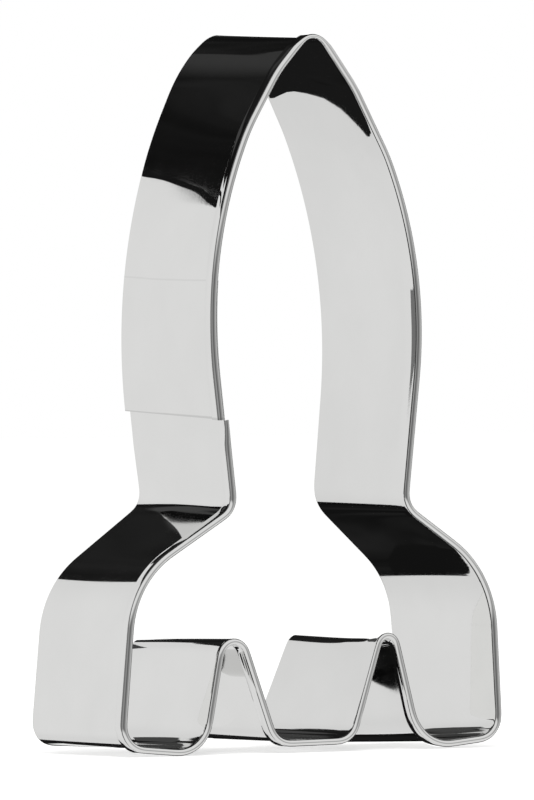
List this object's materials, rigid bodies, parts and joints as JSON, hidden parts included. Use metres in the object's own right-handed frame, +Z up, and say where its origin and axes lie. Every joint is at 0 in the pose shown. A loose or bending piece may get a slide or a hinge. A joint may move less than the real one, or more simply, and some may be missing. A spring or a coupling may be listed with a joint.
{
  "type": "cookie cutter",
  "caption": "Rocket-shaped cookie cutter: a bright steel strip with a folded rim, bent to the outline and closed by a welded lap.",
  "frame": {"origin": "under the middle of the cutter's box, on the ground that its feet stand on", "axes": "+Z up from the feet to the rocket's nose, +X across it to the wall opposite the lap, +Y along the strip's width from the folded rim to the cutting edge"},
  "size_m": [0.0626, 0.025, 0.1],
  "materials": {
    "bright_steel": "mirror-bright rolled steel strip, bare",
    "weld_steel": "dull fused steel of a spot weld"
  },
  "bodies": {
    "root": {"cutter_strip": "bright_steel", "spot_weld_1": "weld_steel", "spot_weld_2": "weld_steel", "spot_weld_3": "weld_steel", "spot_weld_4": "weld_steel"}
  },
  "joints": []
}
